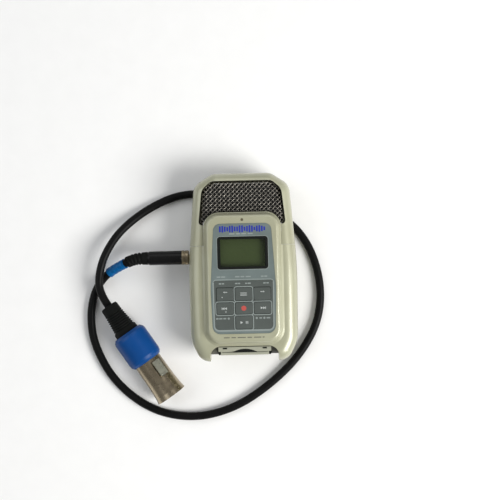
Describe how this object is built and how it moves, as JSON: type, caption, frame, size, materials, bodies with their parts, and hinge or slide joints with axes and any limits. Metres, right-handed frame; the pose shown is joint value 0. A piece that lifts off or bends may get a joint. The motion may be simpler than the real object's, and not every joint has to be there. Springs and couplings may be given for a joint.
{
  "type": "portable field recorder",
  "caption": "Pocket stereo field recorder lying on its back: woven microphone grille, display and keypad, battery and card doors, plugged-in adapter lead with a locking audio connector.",
  "frame": {"origin": "under the middle of the recorder's own box, on the surface it lies on, the lead not counted", "axes": "+X to the recorder's right, +Y towards the microphone head, +Z out of the display"},
  "size_m": [0.1438, 0.1474, 0.032],
  "materials": {
    "shell_pearl": "pearl lacquered moulded plastic, satin gloss",
    "door_beige": "moulded plastic, slightly darker than the shells",
    "cover_grey": "fine-textured moulded plastic",
    "bay_plastic": "black moulded plastic",
    "faceplate_grey": "smooth blue-grey printed panel",
    "lens_clear": "clear polished window",
    "keypad_grey": "satin dark grey membrane",
    "key_line": "light grey printed and raised lines",
    "key_grey": "satin dark grey key caps",
    "lamp_dark": "small smoked light pipe",
    "lcd_black": "black masking bezel",
    "lcd_olive": "olive reflective display",
    "board_green": "solder-masked circuit board",
    "part_black": "black moulded electronic parts",
    "card_blue": "moulded card body",
    "cell_wrap": "printed metal jacket, plain",
    "contact_steel": "plated spring steel",
    "insert_brass": "turned brass",
    "screw_steel": "blackened steel",
    "capsule_metal": "turned aluminium cans",
    "foam_black": "open-cell foam",
    "grille_wire": "woven steel wire, pressed to shape",
    "knob_grey": "moulded slider caps",
    "plug_nickel": "nickel with a warm cast",
    "plug_black": "smooth black barrel",
    "relief_rubber": "soft ribbed black rubber",
    "lead_black": "soft black jacket",
    "sleeve_blue": "blue wrapped marker tape",
    "ring_blue": "blue moulded sleeve",
    "shell_nickel": "worn nickel plate"
  },
  "bodies": {
    "root": {"front_cover": "shell_pearl", "rear_cover": "shell_pearl", "head_frame_front": "shell_pearl", "head_frame_rear": "shell_pearl", "card_bay": "door_beige", "front_grille": "grille_wire", "rear_grille": "grille_wire", "grille_linings": "foam_black", "capsule_carrier": "bay_plastic", "mic_capsules": "capsule_metal", "faceplate": "faceplate_grey", "display_window": "lens_clear", "keypad_mask": "keypad_grey", "key_borders": "key_line", "tact_switches": "part_black", "record_lamp": "lamp_dark", "lcd_bezel": "lcd_black", "lcd_panel": "lcd_olive", "lcd_carrier": "bay_plastic", "main_board": "board_green", "board_chips": "part_black", "card_socket": "contact_steel", "memory_card": "card_blue", "battery_bay": "bay_plastic", "battery_cells": "cell_wrap", "battery_contacts": "contact_steel", "mic_in_jack": "part_black", "line_in_jack": "part_black", "phones_jack": "part_black", "dc_jack": "part_black", "usb_port": "contact_steel", "tripod_insert": "insert_brass", "case_screws": "screw_steel", "slide_switches": "contact_steel"},
    "battery_lid": {"battery_cover": "cover_grey"},
    "card_lid": {"card_door": "door_beige"},
    "gain_slider": {"gain_knob": "knob_grey"},
    "power_slider": {"power_knob": "knob_grey"},
    "volume_key": {"volume_rocker": "knob_grey"},
    "lead": {"plug_pin": "plug_nickel", "plug_collar": "plug_nickel", "plug_barrel": "plug_black", "plug_relief": "relief_rubber", "lead_tube": "lead_black", "marker_sleeve": "sleeve_blue", "xlr_boot": "relief_rubber", "xlr_ring": "ring_blue", "xlr_shell": "shell_nickel", "xlr_insert": "part_black", "xlr_contacts": "insert_brass"},
    "latch": {"xlr_latch": "shell_nickel"},
    "key_menu_cap": {"key_menu": "key_grey"},
    "key_record_cap": {"key_record": "key_grey"},
    "key_play_cap": {"key_play": "key_grey"},
    "key_rewind_cap": {"key_rewind": "key_grey"},
    "key_forward_cap": {"key_forward": "key_grey"},
    "key_pattern_left_cap": {"key_pattern_left": "key_grey"},
    "key_pattern_right_cap": {"key_pattern_right": "key_grey"}
  },
  "joints": [
    {"name": "battery_cover_hinge", "type": "hinge", "parent": "root", "child": "battery_lid", "pos_m": [0, 0.0112, 0.0064], "axis": [1, 0, 0], "range_deg": [0, 60]},
    {"name": "card_door_hinge", "type": "hinge", "parent": "root", "child": "card_lid", "pos_m": [0, -0.0505, 0.0182], "axis": [1, 0, 0], "range_deg": [0, 100]},
    {"name": "gain_slide", "type": "slide", "parent": "root", "child": "gain_slider", "axis": [0, 1, 0], "range_m": [-0.0025, 0.0025]},
    {"name": "power_slide", "type": "slide", "parent": "root", "child": "power_slider", "axis": [0, 1, 0], "range_m": [-0.002, 0.002]},
    {"name": "volume_rock", "type": "hinge", "parent": "root", "child": "volume_key", "pos_m": [0.0299, -0.019, 0.0132], "axis": [0, 0, 1], "range_deg": [-4, 4], "stiffness_Nm_per_rad": 0.05},
    {"name": "plug_pull", "type": "slide", "parent": "root", "child": "lead", "axis": [-1, 0, 0], "range_m": [0, 0.015]},
    {"name": "xlr_latch_press", "type": "hinge", "parent": "lead", "child": "latch", "pos_m": [-0.05303, -0.05443, 0.01755], "axis": [0.6874, 0.4635, -0.5592], "range_deg": [0, 4], "stiffness_Nm_per_rad": 0.2},
    {"name": "key_menu_press", "type": "slide", "parent": "root", "child": "key_menu_cap", "axis": [0, 0, -1], "range_m": [0, 0.0004], "stiffness_N_per_m": 1500},
    {"name": "key_record_press", "type": "slide", "parent": "root", "child": "key_record_cap", "axis": [0, 0, -1], "range_m": [0, 0.0004], "stiffness_N_per_m": 1500},
    {"name": "key_play_press", "type": "slide", "parent": "root", "child": "key_play_cap", "axis": [0, 0, -1], "range_m": [0, 0.0004], "stiffness_N_per_m": 1500},
    {"name": "key_rewind_press", "type": "slide", "parent": "root", "child": "key_rewind_cap", "axis": [0, 0, -1], "range_m": [0, 0.0004], "stiffness_N_per_m": 1500},
    {"name": "key_forward_press", "type": "slide", "parent": "root", "child": "key_forward_cap", "axis": [0, 0, -1], "range_m": [0, 0.0004], "stiffness_N_per_m": 1500},
    {"name": "key_pattern_left_press", "type": "slide", "parent": "root", "child": "key_pattern_left_cap", "axis": [0, 0, -1], "range_m": [0, 0.0004], "stiffness_N_per_m": 1500},
    {"name": "key_pattern_right_press", "type": "slide", "parent": "root", "child": "key_pattern_right_cap", "axis": [0, 0, -1], "range_m": [0, 0.0004], "stiffness_N_per_m": 1500}
  ]
}
